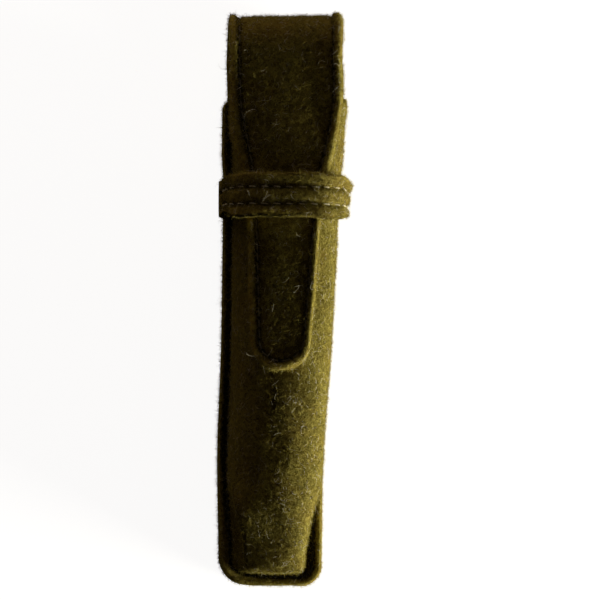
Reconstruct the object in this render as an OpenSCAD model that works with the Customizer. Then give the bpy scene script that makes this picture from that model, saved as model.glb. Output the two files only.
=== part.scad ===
// Felt sleeve for one pen. It lies on its back: X is across, +Y runs to the fold, +Z is up to the front.
// The origin is under the middle of the closed sleeve, on the outer face of the back panel.

/* [Pocket] */
// Length of the pocket, from its bottom edge to its mouth
pocket_len = 140; // [110:1:180]
// Width over the sewn edges at the mouth
mouth_w = 33.8; // [28:0.2:44]
// Width over the sewn edges near the bottom
foot_w = 30; // [25:0.2:40]
// Radius of the two bottom corners
corner_r = 7; // [4.5:0.5:10]
// Radius of the two corners at the mouth
mouth_r = 2.5; // [1:0.5:4]
// Free height inside the pocket, which is the thickest pen it takes
pen_room = 12; // [9:0.5:16]
// Free height inside the pocket at its bottom end
toe_room = 6.5; // [4:0.5:8]
// Length over which the front slopes down to the bottom end
toe_len = 27; // [20:1:40]
// Width of the flattened front face at its bottom end
toe_w = 16; // [12:0.5:20]
// Width of sewn edge that shows beside the front, at the mouth
mouth_edge = 0.9; // [0.3:0.1:3]
// Width of sewn edge that shows beside the front, near the bottom
foot_edge = 2.5; // [1.5:0.1:4]

/* [Felt] */
// Thickness of one layer of felt
felt_t = 1.3; // [1:0.1:1.6]

/* [Flap] */
// Height of the fold above the mouth
flap_rise = 25; // [18:0.5:40]
// How much narrower than the mouth the flap is, on each side
flap_step = 0.6; // [0:0.1:2]
// Distance from the level of the mouth to where the flap has narrowed to its tongue
taper_len = 37.5; // [28:0.5:50]
// Width of the tongue where the taper ends
tongue_w = 19.6; // [15:0.2:24]
// Width of the tongue at its round tip
tip_w = 17; // [12:0.2:19]

/* [Keeper] */
// Distance from the mouth down to the upper edge of the keeper
keeper_drop = 22; // [15:0.5:35]
// Width of the keeper band, along the sleeve
keeper_w = 12.5; // [9:0.5:16]
// How far the tongue reaches below the keeper
tongue_reach = 42; // [20:1:60]
// How far each cut end of the keeper stands past the sewn edge
keeper_proud = 1; // [0:0.1:2]

/* [Stitching] */
// Thickness of the thread
thread_d = 0.45; // [0.3:0.05:0.6]
// Distance from the edge to the stitches of the pocket and the flap
seam_in = 2.7; // [2:0.1:3]
// Distance from one stitch to the next along the edges
seam_pitch = 3.1; // [2.6:0.1:5]
// Length of a stitch that shows along the edges
seam_stitch = 2.1; // [1.4:0.1:2.4]
// Distance from the edges of the keeper to its two rows of stitches
keeper_in = 3.6; // [2:0.1:4]
// Distance from one stitch to the next along the keeper
keeper_pitch = 3.5; // [2.6:0.1:5]
// Length of a stitch that shows on the keeper
keeper_stitch = 1.7; // [1.2:0.1:2.4]

/* [Clearances] */
// Gap between pieces that move past each other
run_gap = 0.3; // [0.2:0.05:0.6]

/* [Hidden] */

// Levels above the rest face
panel_t = 2 * felt_t;
flange_top = 4 * felt_t;
front_top = panel_t + pen_room + panel_t;
toe_top = panel_t + toe_room + panel_t;
flap_under = front_top + run_gap;
flap_top = flap_under + panel_t;

// The fold is half a ring, bent round an axis along X
fold_r = flap_top / 2;
sleeve_len = pocket_len + flap_rise;
bottom_y = -sleeve_len / 2;
mouth_y = bottom_y + pocket_len;
fold_y = sleeve_len / 2 - fold_r;
hinge_angles = [30, 90, 150];
hinge_gap = asin(run_gap / 2 / fold_r);
end_bend = hinge_angles[0] - hinge_gap;

// Stations along the sleeve
keeper_top_y = mouth_y - keeper_drop;
keeper_low_y = keeper_top_y - keeper_w;
tip_y = keeper_low_y - tongue_reach;
tip_r = tip_w / 2;
taper_end_y = mouth_y - taper_len;
tongue_y = keeper_top_y + 3 * run_gap;

// The front rises from a foot line just inside the stitches
groove_w = 2 * thread_d;
groove_depth = thread_d + 0.1;
foot_in = seam_in + groove_w / 2 + 0.25;
flap_half_w = mouth_w / 2 - flap_step;
end_in = seam_in + groove_w / 2 + 0.1;
toe_y = bottom_y + end_in;
widest_z = panel_t + 0.55 * pen_room;
front_power = 2.4;
toe_round = 2.2;
arc_steps = 10;
ring_steps = 10;
$fn = 96;

felt_colour = "#736b2d";
lining_colour = "#5f5926";
thread_colour = "#b9b088";

// ---- plain functions ----
function lerp(a, b, u) = a + (b - a) * u;
function unit(u) = max(0, min(1, u));
function ease(u) = (1 - cos(180 * unit(u))) / 2;
function arc(cx, cy, r, from, to, n = arc_steps) =
    [for (i = [0:n]) let (a = lerp(from, to, i / n)) [cx + r * cos(a), cy + r * sin(a)]];
function flip(points) = [for (i = [len(points) - 1:-1:0]) [-points[i][0], points[i][1]]];
function seg(path, i) = norm(path[i + 1] - path[i]);
function length_of(path, i = 0) = i >= len(path) - 1 ? 0 : seg(path, i) + length_of(path, i + 1);
function at(path, s, i = 0) =
    s <= seg(path, i) || i == len(path) - 2
        ? let (way = (path[i + 1] - path[i]) / seg(path, i)) [path[i] + way * s, way]
        : at(path, s - seg(path, i), i + 1);

// ---- outlines seen from the front ----
function edge_half(y) =
    lerp(foot_w, mouth_w, unit((y - bottom_y - corner_r) / (pocket_len - corner_r))) / 2;

// Pocket outline, drawn in by d and ending at top_y with corners of radius r
function pocket_points(d, top_y, r) =
    let (low = foot_w / 2 - d, high = edge_half(top_y) - d, rb = corner_r - d)
    let (right = concat(arc(low - rb, bottom_y + corner_r, rb, -90, 0),
                        arc(high - r, top_y - r, r, 0, 90)))
    concat(right, flip(right));

function flap_half(y) =
    y >= taper_end_y
        ? let (u = unit((mouth_y - y) / taper_len))
          lerp(flap_half_w, tongue_w / 2, (u + ease(u)) / 2)
        : lerp(tongue_w, tip_w, (taper_end_y - y) / (taper_end_y - tip_y - tip_r)) / 2;

// One long edge of the flap from y0 up to y1, drawn in by d
function flap_edge(d, y0, y1, n = 2 * arc_steps) =
    [for (i = [0:n]) let (y = lerp(y0, y1, i / n)) [flap_half(y) - d, y]];
function flap_points(d, y0, y1) = let (edge = flap_edge(d, y0, y1)) concat(edge, flip(edge));
function tongue_points(d, y1) =
    let (tip = arc(0, tip_y + tip_r, tip_r - d, -90, 0))
    let (right = concat(tip, flap_edge(d, tip_y + tip_r + 1, y1)))
    concat(right, flip(right));

// ---- sections across the sleeve ----
function foot_half(y) =
    let (r = corner_r - foot_in, rise = y - bottom_y - foot_in)
    edge_half(y) - foot_in - (rise < r ? r - sqrt(max(0, r * r - pow(r - max(rise, 0), 2))) : 0);
function front_half(y) =
    let (body = edge_half(y) - lerp(foot_edge, mouth_edge, unit((y - bottom_y) / pocket_len)))
    lerp(toe_w / 2, body, ease((y - toe_y) / toe_len / 1.2 + 0.12));
function front_height(y) =
    let (slope = lerp(toe_top, front_top, ease((y - toe_y) / toe_len)))
    let (u = unit((y - toe_y) / toe_round))
    slope - toe_round * (1 - sqrt(1 - pow(1 - u, 2)));

// Half a section of the moulded front at y, drawn in by d and starting at the level base
function half_section(y, d, base) =
    let (a = front_half(y) - d, foot = foot_half(y) - d, top = front_height(y) - d)
    let (mid = max(flange_top + run_gap, min(widest_z, lerp(panel_t, top, 0.55))))
    concat(
        [[foot, base]],
        [for (i = [0:3]) let (u = i / 4) [a - (a - foot) * pow(1 - u, 2), lerp(flange_top, mid, u)]],
        [for (i = [0:ring_steps])
            let (t = 90 * i / ring_steps)
            [a * pow(cos(t), 2 / front_power), mid + (top - mid) * pow(sin(t), 2 / front_power)]]
    );
function whole_section(half) = concat(half, [for (i = [len(half) - 2:-1:0]) [-half[i][0], half[i][1]]]);

// Stations of the moulded front, close together where it rounds over its end
function front_stations(d, last_y) =
    let (first = toe_y + d)
    concat(
        [for (u = [0, 0.07, 0.25, 0.55, 1]) first + toe_round * u],
        [for (u = [0.15:0.17:1]) lerp(first + toe_round, first + toe_len, u)],
        [for (i = [1:3]) lerp(first + toe_len, last_y, i / 4)],
        [last_y]
    );

// Solid through rings of points that all have the same count
module loft(rings) {
    n = len(rings[0]);
    last = len(rings) - 1;
    points = [for (ring = rings) each ring];
    sides = [for (k = [0:last - 1]) for (i = [0:n - 1])
        let (a = k * n + i, b = k * n + (i + 1) % n)
        each [[a, b, a + n], [b, b + n, a + n]]];
    caps = [[for (i = [n - 1:-1:0]) i], [for (i = [0:n - 1]) last * n + i]];
    polyhedron(points = points, faces = concat(sides, caps));
}

module front_form(d, base, last_y) {
    loft([for (y = front_stations(d, last_y))
        [for (p = whole_section(half_section(y - d, d, base))) [p[0], y, p[1]]]]);
}

// Inner outline of the keeper across the sleeve, grown by d
keeper_mid_y = keeper_top_y - keeper_w / 2;
keeper_half = max(front_half(keeper_top_y), flap_half(keeper_top_y) + 1.5) + run_gap;
keeper_foot = foot_half(keeper_mid_y) + run_gap;
keeper_end = edge_half(keeper_mid_y) + keeper_proud;
keeper_power = 4;
tongue_share = pow((flap_half(keeper_top_y) + run_gap) / keeper_half, keeper_power);
keeper_rise = (flap_top + run_gap - widest_z) / pow(1 - tongue_share, 1 / keeper_power);

function keeper_curve(d) =
    let (a = keeper_half + d, low = flange_top + d, reach = widest_z - flange_top)
    concat(
        [for (i = [0:4])
            let (z = lerp(low, widest_z, i / 5), u = (z - flange_top) / reach)
            [a - (keeper_half - keeper_foot) * pow(1 - u, 2), z]],
        [for (i = [0:2 * ring_steps])
            let (t = 45 * i / ring_steps)
            [a * pow(cos(t), 2 / keeper_power),
             widest_z + (keeper_rise + d) * pow(sin(t), 2 / keeper_power)]]
    );
function keeper_points(d) =
    let (tab = d > 0 ? [[keeper_end, flange_top], [keeper_end, flange_top + d]] : [])
    whole_section(concat(tab, keeper_curve(d)));

module keeper_slab(d, y0, y1) {
    translate([0, y1, 0]) rotate([90, 0, 0]) linear_extrude(y1 - y0) polygon(keeper_points(d));
}

module keeper_layer(inner, outer) {
    difference() {
        keeper_slab(outer, keeper_low_y, keeper_top_y);
        keeper_slab(inner, keeper_low_y - 1, keeper_top_y + 1);
    }
}

keeper_rows = [keeper_top_y - keeper_in, keeper_low_y + keeper_in];

// ---- stitches ----
// A row of short bars of thread in the XY plane, centred along a path
module stitch_row(path, pitch, bar) {
    whole = length_of(path);
    count = floor((whole - bar) / pitch) + 1;
    first = (whole - (count - 1) * pitch) / 2;
    for (i = [0:count - 1]) {
        place = at(path, first + i * pitch);
        translate([place[0][0], place[0][1], 0])
            rotate([0, 0, atan2(place[1][1], place[1][0])])
            rotate([0, 90, 0])
            rotate([0, 0, 22.5])
            cylinder(h = bar, r = thread_d / 2 / cos(22.5), center = true, $fn = 8);
    }
}

module edge_row(path) {
    stitch_row(path, seam_pitch, seam_stitch);
}

// Rows along the flat faces that look down and up, in the bottom of their grooves
module row_below(path) {
    translate([0, 0, groove_depth - thread_d / 2]) edge_row(path);
}
module row_above(path, level) {
    translate([0, 0, level - groove_depth + thread_d / 2]) edge_row(path);
}

function side_path(side) =
    let (low = bottom_y + corner_r, high = mouth_y - mouth_r)
    [[side * (edge_half(low) - seam_in), low], [side * (edge_half(high) - seam_in), high]];
bottom_path =
    let (r = corner_r - seam_in, right = arc(foot_w / 2 - corner_r, bottom_y + corner_r, r, -90, 0))
    concat(flip(right), right);
keeper_skip = keeper_w / 2 + thread_d;

module side_seam(side) {
    path = side_path(side);
    row_below(path);
    difference() {
        row_above(path, flange_top);
        translate([-mouth_w, keeper_mid_y - keeper_skip, 0])
            cube([2 * mouth_w, 2 * keeper_skip, front_top]);
    }
}

// ---- grooves that the thread lies in ----
module ring_between(d0, d1, top_y) {
    difference() {
        polygon(pocket_points(d0, top_y, 0.1));
        polygon(pocket_points(d1, top_y + 1, 0.1));
    }
}
module pocket_groove(level) {
    translate([0, 0, level])
        linear_extrude(groove_depth + 1)
        ring_between(seam_in - groove_w / 2, seam_in + groove_w / 2, mouth_y - mouth_r + 1);
}
module riser_groove() {
    for (side = [-1, 1])
        translate([side * (flap_half_w - seam_in) - groove_w / 2, mouth_y - 1, -1])
            cube([groove_w, fold_y - mouth_y + 1, groove_depth + 1]);
}

// ---- bent strips of the fold ----
module bent(from, to, inner_r, outer_r, w) {
    translate([0, fold_y, fold_r])
        rotate([0, 90, 0])
        rotate([0, 0, from])
        rotate_extrude(angle = to - from)
        translate([inner_r, -w / 2])
        square([outer_r - inner_r, w]);
}
module bent_groove(from, to) {
    for (side = [-1, 1])
        translate([side * (flap_half_w - seam_in), 0, 0])
            bent(from, to, fold_r - groove_depth, fold_r + 1, groove_w);
}
module bent_outer(from, to) {
    difference() {
        bent(from, to, fold_r - felt_t, fold_r, 2 * flap_half_w);
        bent_groove(from, to);
    }
}
module bent_lining(from, to) {
    bent(from, to, fold_r - panel_t, fold_r - felt_t, 2 * flap_half_w);
}
// Stitches round part of the fold, standing in the YZ plane on both sides
module bent_stitches(from, to) {
    path = arc(fold_y, fold_r, fold_r - groove_depth + thread_d / 2, from - 90, to - 90);
    for (side = [-1, 1])
        translate([side * (flap_half_w - seam_in), 0, 0])
            rotate([90, 0, 90]) edge_row(path);
}

// The flap's end of the fold mirrors the back panel's end
module turned_over() {
    translate([0, 0, flap_top]) mirror([0, 0, 1]) children();
}

// ---- the pocket ----
module back_outline() {
    polygon(pocket_points(0, mouth_y, mouth_r));
    translate([-flap_half_w, mouth_y - 2 * mouth_r])
        square([2 * flap_half_w, fold_y - mouth_y + 2 * mouth_r]);
}

module back_panel() {
    color(felt_colour) {
        difference() {
            linear_extrude(felt_t) back_outline();
            pocket_groove(-1);
            riser_groove();
        }
        bent_outer(0, end_bend);
    }
}

module back_lining() {
    color(lining_colour) {
        translate([0, 0, felt_t]) linear_extrude(felt_t) back_outline();
        bent_lining(0, end_bend);
    }
}

module flange(level) {
    translate([0, 0, level]) linear_extrude(felt_t) polygon(pocket_points(0, mouth_y, mouth_r));
}

// Everything past the mouth, which cuts both layers of the front off square
module past_mouth() {
    translate([-mouth_w, mouth_y, 0]) cube([2 * mouth_w, flap_rise, flap_top]);
}

module front_panel() {
    color(felt_colour) difference() {
        union() {
            flange(3 * felt_t);
            front_form(0, 3 * felt_t + 0.2, mouth_y + 1);
        }
        front_form(felt_t, panel_t, mouth_y + 2);
        pocket_groove(flange_top - groove_depth);
        past_mouth();
    }
}

module front_lining() {
    color(lining_colour) difference() {
        union() {
            flange(panel_t);
            front_form(felt_t + 0.05, panel_t + 0.2, mouth_y + 1);
        }
        front_form(panel_t, felt_t, mouth_y + 2);
        past_mouth();
    }
}

// ---- the keeper ----
module keeper_band() {
    color(felt_colour) difference() {
        keeper_layer(felt_t, panel_t);
        for (y = keeper_rows)
            difference() {
                keeper_slab(panel_t + 1, y - groove_w / 2, y + groove_w / 2);
                keeper_slab(panel_t - groove_depth, y - groove_w, y + groove_w);
            }
    }
}

module keeper_lining() {
    color(lining_colour) keeper_layer(0, felt_t);
}

module keeper_stitches(row) {
    half = keeper_curve(panel_t - groove_depth + thread_d / 2 + 0.08);
    path = whole_section([for (i = [4:len(half) - 1]) half[i]]);
    color(thread_colour)
        translate([0, keeper_rows[row], 0])
        rotate([90, 0, 0])
        stitch_row(path, keeper_pitch, keeper_stitch);
}

// ---- seams of the pocket ----
module side_seam_left() {
    color(thread_colour) side_seam(-1);
}
module side_seam_right() {
    color(thread_colour) side_seam(1);
}
module bottom_seam() {
    color(thread_colour) {
        row_below(bottom_path);
        row_above(bottom_path, flange_top);
    }
}
module riser_stitches() {
    color(thread_colour) {
        for (side = [-1, 1])
            row_below([[side * (flap_half_w - seam_in), mouth_y], [side * (flap_half_w - seam_in), fold_y]]);
        bent_stitches(0, end_bend);
    }
}

// ---- the fold, in two rigid lengths ----
module fold_piece(n, kind) {
    from = hinge_angles[n] + hinge_gap;
    to = hinge_angles[n + 1] - hinge_gap;
    if (kind == "outer") color(felt_colour) bent_outer(from, to);
    if (kind == "lining") color(lining_colour) bent_lining(from, to);
    if (kind == "stitches") color(thread_colour) bent_stitches(from, to);
}

// ---- the flap and its tongue ----
module flap_outer() {
    color(felt_colour) {
        difference() {
            translate([0, 0, flap_top - felt_t])
                linear_extrude(felt_t) polygon(flap_points(0, tongue_y, fold_y));
            translate([0, 0, flap_top - groove_depth])
                linear_extrude(felt_t)
                difference() {
                    polygon(flap_points(seam_in - groove_w / 2, tongue_y - 1, fold_y + 1));
                    polygon(flap_points(seam_in + groove_w / 2, tongue_y - 2, fold_y + 2));
                }
        }
        turned_over() bent_outer(0, end_bend);
    }
}

module flap_lining() {
    color(lining_colour) {
        translate([0, 0, flap_under])
            linear_extrude(felt_t) polygon(flap_points(0, tongue_y, fold_y));
        turned_over() bent_lining(0, end_bend);
    }
}

module flap_stitches() {
    edge = flap_edge(seam_in, tongue_y, fold_y);
    color(thread_colour) {
        row_above(edge, flap_top);
        row_above(flip(edge), flap_top);
        turned_over() bent_stitches(0, end_bend);
    }
}

module tongue_outer() {
    color(felt_colour) difference() {
        translate([0, 0, flap_top - felt_t])
            linear_extrude(felt_t) polygon(tongue_points(0, tongue_y));
        translate([0, 0, flap_top - groove_depth])
            linear_extrude(felt_t)
            difference() {
                polygon(tongue_points(seam_in - groove_w / 2, tongue_y + 1));
                polygon(tongue_points(seam_in + groove_w / 2, tongue_y + 2));
            }
    }
}

module tongue_lining() {
    color(lining_colour)
        translate([0, 0, flap_under]) linear_extrude(felt_t) polygon(tongue_points(0, tongue_y));
}

module tongue_stitches() {
    path = concat(
        flip(flap_edge(seam_in, tip_y + tip_r + 1, tongue_y)),
        arc(0, tip_y + tip_r, tip_r - seam_in, 180, 360, 2 * arc_steps),
        flap_edge(seam_in, tip_y + tip_r + 1, tongue_y)
    );
    color(thread_colour) row_above(path, flap_top);
}

back_panel();
back_lining();
front_panel();
front_lining();
keeper_band();
keeper_lining();
keeper_stitches(0);  // keeper_stitches_upper
keeper_stitches(1);  // keeper_stitches_lower
side_seam_left();
side_seam_right();
bottom_seam();
riser_stitches();
fold_piece(0, "outer");  // fold_lower_outer
fold_piece(0, "lining");  // fold_lower_lining
fold_piece(0, "stitches");  // fold_lower_stitches
fold_piece(1, "outer");  // fold_upper_outer
fold_piece(1, "lining");  // fold_upper_lining
fold_piece(1, "stitches");  // fold_upper_stitches
flap_outer();
flap_lining();
flap_stitches();
tongue_outer();
tongue_lining();
tongue_stitches();
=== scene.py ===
import math

import bmesh
import bpy
import numpy as np
from mathutils import Matrix, Vector


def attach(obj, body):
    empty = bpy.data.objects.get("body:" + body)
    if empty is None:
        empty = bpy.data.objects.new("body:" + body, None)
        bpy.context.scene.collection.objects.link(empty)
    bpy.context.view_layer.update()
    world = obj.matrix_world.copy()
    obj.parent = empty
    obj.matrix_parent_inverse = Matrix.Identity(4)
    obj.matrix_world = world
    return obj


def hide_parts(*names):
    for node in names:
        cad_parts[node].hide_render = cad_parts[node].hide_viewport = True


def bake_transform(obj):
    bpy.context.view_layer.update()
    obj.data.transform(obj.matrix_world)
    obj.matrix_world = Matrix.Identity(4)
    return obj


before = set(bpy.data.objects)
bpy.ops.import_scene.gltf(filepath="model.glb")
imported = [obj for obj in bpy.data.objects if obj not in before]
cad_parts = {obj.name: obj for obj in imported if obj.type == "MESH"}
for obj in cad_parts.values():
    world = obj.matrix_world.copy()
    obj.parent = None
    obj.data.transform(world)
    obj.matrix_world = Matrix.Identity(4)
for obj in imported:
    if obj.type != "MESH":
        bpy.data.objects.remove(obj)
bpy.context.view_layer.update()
print("frame loaded:", len(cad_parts), "nodes")

mm = 0.001

# The sleeve's own sizes in mm, the same as in its construction
sleeve = {
    "feltThick": 1.3,
    "pocketLength": 140.0,
    "mouthWidth": 33.8,
    "footWidth": 30.0,
    "cornerRadius": 7.0,
    "mouthRadius": 2.5,
    "penRoom": 12.0,
    "toeRoom": 6.5,
    "toeLength": 27.0,
    "toeWidth": 16.0,
    "mouthEdge": 0.9,
    "footEdge": 2.5,
    "flapRise": 25.0,
    "flapStep": 0.6,
    "runGap": 0.3,
    "seamIn": 2.7,
    "threadThick": 0.45,
    "mouthFlare": (0.55, 33, 12),  # as slope() takes it
}
felt = sleeve["feltThick"]
panel = 2 * felt
flangeTop = 4 * felt
frontTop = 2 * panel + sleeve["penRoom"]
toeTop = 2 * panel + sleeve["toeRoom"]
flapTop = frontTop + sleeve["runGap"] + panel
foldRadius = flapTop / 2
foldMidRadius = foldRadius - felt
ringLength = math.pi * foldMidRadius
sleeveLength = sleeve["pocketLength"] + sleeve["flapRise"]
bottomY = -sleeveLength / 2
mouthY = bottomY + sleeve["pocketLength"]
foldY = sleeveLength / 2 - foldRadius
seamIn = sleeve["seamIn"]


# Small helpers
def lerp(a, b, u):
    return a + (b - a) * u


def unit(u):
    return np.clip(u, 0, 1)


def ease(u):
    return (1 - np.cos(np.pi * unit(u))) / 2


def bell(*ways):
    return np.exp(-sum(way**2 for way in ways))


# facts are (height, place, width)
def hump(t, facts):
    height, place, width = facts
    return height * bell((t - place) / width)


# facts are (height, start, length); a negative length rises towards lower values
def slope(t, facts):
    height, start, length = facts
    return height * ease((t - start) / length)


def slopes(t, several):
    return sum(slope(t, facts) for facts in several)


# facts are (height, (place, width) in x, the same in y)
def patch(x, y, facts):
    height, (placeX, wideX), (placeY, wideY) = facts
    return height * bell((x - placeX) / wideX, (y - placeY) / wideY)


# pair holds a value for the left side and one for the right
def bySide(x, pair):
    return np.where(x > 0, pair[1], pair[0])


# Length of a line up to each of its points
def runLength(line):
    return np.concatenate([[0], np.cumsum(np.linalg.norm(np.diff(line, axis=0), axis=1))])


# Slow waves about 1 high, the same for the same seed
def waves(points, wavelength, seed):
    dice = np.random.default_rng(seed)
    points = np.asarray(points, float)
    total = np.zeros(points.shape[:-1])
    for _ in range(8):
        way = dice.normal(size=points.shape[-1])
        way /= np.linalg.norm(way)
        pace = 2 * np.pi / wavelength * (0.6 + 0.8 * dice.random())
        total += np.sin(points @ way * pace + 2 * np.pi * dice.random())
    return total / 2


# How far a rounded edge falls away at a distance from the edge
def roundOff(distance, reach, fall):
    u = unit(np.asarray(distance, float) / reach)
    return fall * (1 - np.sqrt(1 - (1 - u) ** 2))


# The felt has settled out of true: the foot and the fold lean left and one corner of the mouth bulges
settled = {
    "belly": (-0.85, -45, 22),
    "fold": (-0.5, 58, 14),
    "foot": (0.8, -75, -6),
    "cornerOut": (0.5, 54.5, 2.4),
    "cornerFrom": 10,
    "cornerWide": 5,
    "aboveMouth": (1.0, 9, 5),
    "mouthRise": (0.9, 2.2),
    "mouthHalf": 17,
    "mouth": (1.0, 57, 7),
    "topTilt": 0.055,
    "topRise": 0.1,
    "top": (1.0, 62, 15),
}


def settle(points):
    x, y, z = np.moveaxis(np.asarray(points, float), -1, 0)
    low = 1 - slope(z, settled["aboveMouth"])
    corner = unit((x - settled["cornerFrom"]) / settled["cornerWide"])
    shift = hump(y, settled["belly"]) + slope(y, settled["fold"]) + slope(y, settled["foot"])
    shift = shift + hump(y, settled["cornerOut"]) * corner * low
    half = settled["mouthHalf"]
    mouth = lerp(*settled["mouthRise"], unit((x + half) / (2 * half))) * hump(y, settled["mouth"]) * low
    top = (settled["topTilt"] * x + settled["topRise"]) * slope(y, settled["top"])
    return np.stack([x + shift, y + mouth + top, z], axis=-1)


# Meshes
weldGap = 0.002
sliver = 0.001


def addThing(name, data):
    thing = bpy.data.objects.new(name, data)
    bpy.context.scene.collection.objects.link(thing)
    return thing


def addStrands(name, points, faces):
    mesh = bpy.data.meshes.new(name)
    mesh.from_pydata((points * mm).tolist(), [], faces)
    mesh.polygons.foreach_set("use_smooth", [True] * len(mesh.polygons))
    return addThing(name, mesh)


# Turns grids of points (rows, columns, 3) in mm into one welded closed mesh. The painted light values belong
# to the first grids:
# above 0 a painted highlight, below 0 painted shade along seams, in valleys and under parts, where the nap
# also thins
def weldGrids(name, grids, flatGrids=(), wear=()):
    points = []
    faces = []
    smooth = []
    base = 0
    for isFlat, some in ((False, grids), (True, flatGrids)):
        for grid in some:
            rows, columns = grid.shape[:2]
            index = base + np.arange(rows * columns).reshape(rows, columns)
            quads = np.stack([index[:-1, :-1], index[1:, :-1], index[1:, 1:], index[:-1, 1:]], -1)
            quads = quads.reshape(-1, 4)
            points.append(grid.reshape(-1, 3))
            faces.append(quads)
            smooth += [not isFlat] * len(quads)
            base += rows * columns
    mesh = bpy.data.meshes.new(name)
    mesh.from_pydata((np.concatenate(points) * mm).tolist(), [], np.concatenate(faces).tolist())
    mesh.polygons.foreach_set("use_smooth", smooth)
    paintedLightValues = np.zeros(base, np.float32)
    if len(wear):
        given = np.concatenate([w.ravel() for w in wear])
        paintedLightValues[:len(given)] = given
    # the attribute carries painted light into the felt's colour
    mesh.attributes.new("wear", "FLOAT", "POINT").data.foreach_set("value", paintedLightValues)
    work = bmesh.new()
    work.from_mesh(mesh)
    bmesh.ops.remove_doubles(work, verts=work.verts, dist=weldGap * mm)
    bmesh.ops.dissolve_degenerate(work, edges=work.edges, dist=sliver * mm)
    bmesh.ops.recalc_face_normals(work, faces=work.faces)
    work.to_mesh(mesh)
    work.free()
    return addThing(name, mesh)


# The four narrow sides between an upper and a lower grid of the same shape
def edgeWalls(upper, lower, sides):
    lines = {"first": np.s_[0], "last": np.s_[-1], "left": np.s_[:, 0], "right": np.s_[:, -1]}
    return [np.stack([upper[lines[side]], lower[lines[side]]]) for side in sides]


# Outlines
def edgeHalf(y):
    low = bottomY + sleeve["cornerRadius"]
    share = unit((y - low) / (mouthY - low))
    return lerp(sleeve["footWidth"], sleeve["mouthWidth"], share) / 2 + slope(y, sleeve["mouthFlare"])


# How far the round corner of the mouth cuts in
def cornerCut(y):
    radius = sleeve["mouthRadius"]
    rise = np.clip(y - mouthY + radius, 0, radius)
    return radius - np.sqrt(radius**2 - rise**2)


# Stitches along the sewn edges
seam = {
    "pitch": 3.1,
    "bar": 2.1,
    "depth": 0.34,
}
flap = {
    "halfWidth": sleeve["mouthWidth"] / 2 - sleeve["flapStep"] - 0.28,
    "taperLength": 37.5,
    "tongueWidth": 20.6,
    "tipWidth": 17.4,
    "tipY": -19.0,
    "rimProud": (0.425, 0.85),
    "rimRoll": (0.15, 0.55),
    "rimPower": 0.55,
    "rollReach": 2.0,
    "cutEdge": (0.8, 0.6),  # reach and fall, as roundOff() takes them
    "crossOver": 14.0,  # mm over which the left side's values turn into the right side's
    "middlePuff": 0.12,
    "puffReach": 1.6,
    "stands": (1.0, 15, 70),  # this and the next by the angle round the fold
    "foldSink": (0.3, 100, 34),
    "grooveDepth": 0.8,
    "grooveWidth": 0.62,
    "stitchPull": 0.22,
    "lumps": 0.03,
    "lumpSize": 9.0,
    "rimLumps": 0.09,
    "rimLumpSize": 4.2,
    "droop": 0.85,
    "droopReach": 18,
    "droopShare": (1.0, 0.45),
    "leftEdgeIn": (-1.2, 48.5, 6),
    "leftGrooveIn": (0.8, 42, 12),
    "rightGrooveIn": (0.7, 30, -8),
    "edgeWander": 0.14,
    "bendFrom": 5,  # these four in degrees round the fold
    "firstCut": 55,
    "lastCut": 125,
    "bendTo": 175,
}
# Painted light on the outer face of the strip: painted highlights on the rims, painted shade at the foot of
# the left rim, in the seam groove, over the middle and near the keeper
flapPaintedLight = {
    "leftRim": (1.4, 0.7, 0.75),
    "leftRimFoot": (-0.4, 1.95, 0.5),
    "rightRim": 0.35,
    "seam": (-1.05, seamIn, 0.85),
    "middle": 0.1,
    "nearKeeper": (0.22, 64, -12),
}
tipRadius = flap["tipWidth"] / 2
tipCentreY = flap["tipY"] + tipRadius
taperEndY = mouthY - flap["taperLength"]


def flapHalf(y):
    u = unit((mouthY - y) / flap["taperLength"])
    wide = lerp(flap["halfWidth"], flap["tongueWidth"] / 2, (u + ease(u * 1.15)) / 2)
    share = unit((taperEndY - y) / (taperEndY - flap["tipY"] - tipRadius))
    return np.where(y >= taperEndY, wide, lerp(flap["tongueWidth"], flap["tipWidth"], share) / 2)


# The back, the fold, the flap and the tongue are one strip, measured along its middle by s
def flapSideY(s):
    return foldY - (s - foldY - ringLength)


tipS = foldY + ringLength + foldY - flap["tipY"]
cutS = [foldY + foldMidRadius * math.radians(flap[cut]) for cut in ("firstCut", "lastCut")]


def stripHalf(s):
    s = np.asarray(s, float)
    back = np.maximum(edgeHalf(s) - cornerCut(s), flap["halfWidth"])
    back = np.where(s < mouthY - sleeve["mouthRadius"], edgeHalf(s), back)
    back = np.where(s > mouthY, flap["halfWidth"], back)
    return np.where(s > foldY + ringLength, flapHalf(flapSideY(s)), back)


def foldAngle(s):
    return np.degrees((s - foldY) / foldMidRadius)


# x across, s along the strip, h in from its outer face
def stripPoint(x, s, h):
    angle = np.clip((s - foldY) / foldMidRadius, 0, math.pi)
    past = np.maximum(s - foldY - ringLength, 0)
    half = stripHalf(np.minimum(s, tipS - tipRadius))
    droop = bySide(x, flap["droopShare"]) * flap["droop"] * ease(past / flap["droopReach"])
    h = h + droop * (x / half) ** 2
    radius = foldRadius - h
    y = np.minimum(s, foldY) + radius * np.sin(angle) - past
    z = foldRadius - radius * np.cos(angle)
    onFlap = ease(past / 6)
    left = lerp(hump(y, flap["leftEdgeIn"]), hump(y, flap["leftGrooveIn"]), unit((half + x) / seamIn))
    x = x + left * onFlap * unit(-x / 10)
    x = x + slope(y, flap["rightGrooveIn"]) * unit((half - x) / seamIn) * unit(x / 7) * onFlap
    return settle(np.stack([x, y, z], axis=-1))


# 0 where the strip is the flat back, 1 on the flap
def standing(s):
    return slope(foldAngle(s), flap["stands"])


# 0 along the left edge of the flap, 1 along the right edge
def rightShare(x):
    return unit(x / flap["crossOver"] + 0.5)


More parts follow.
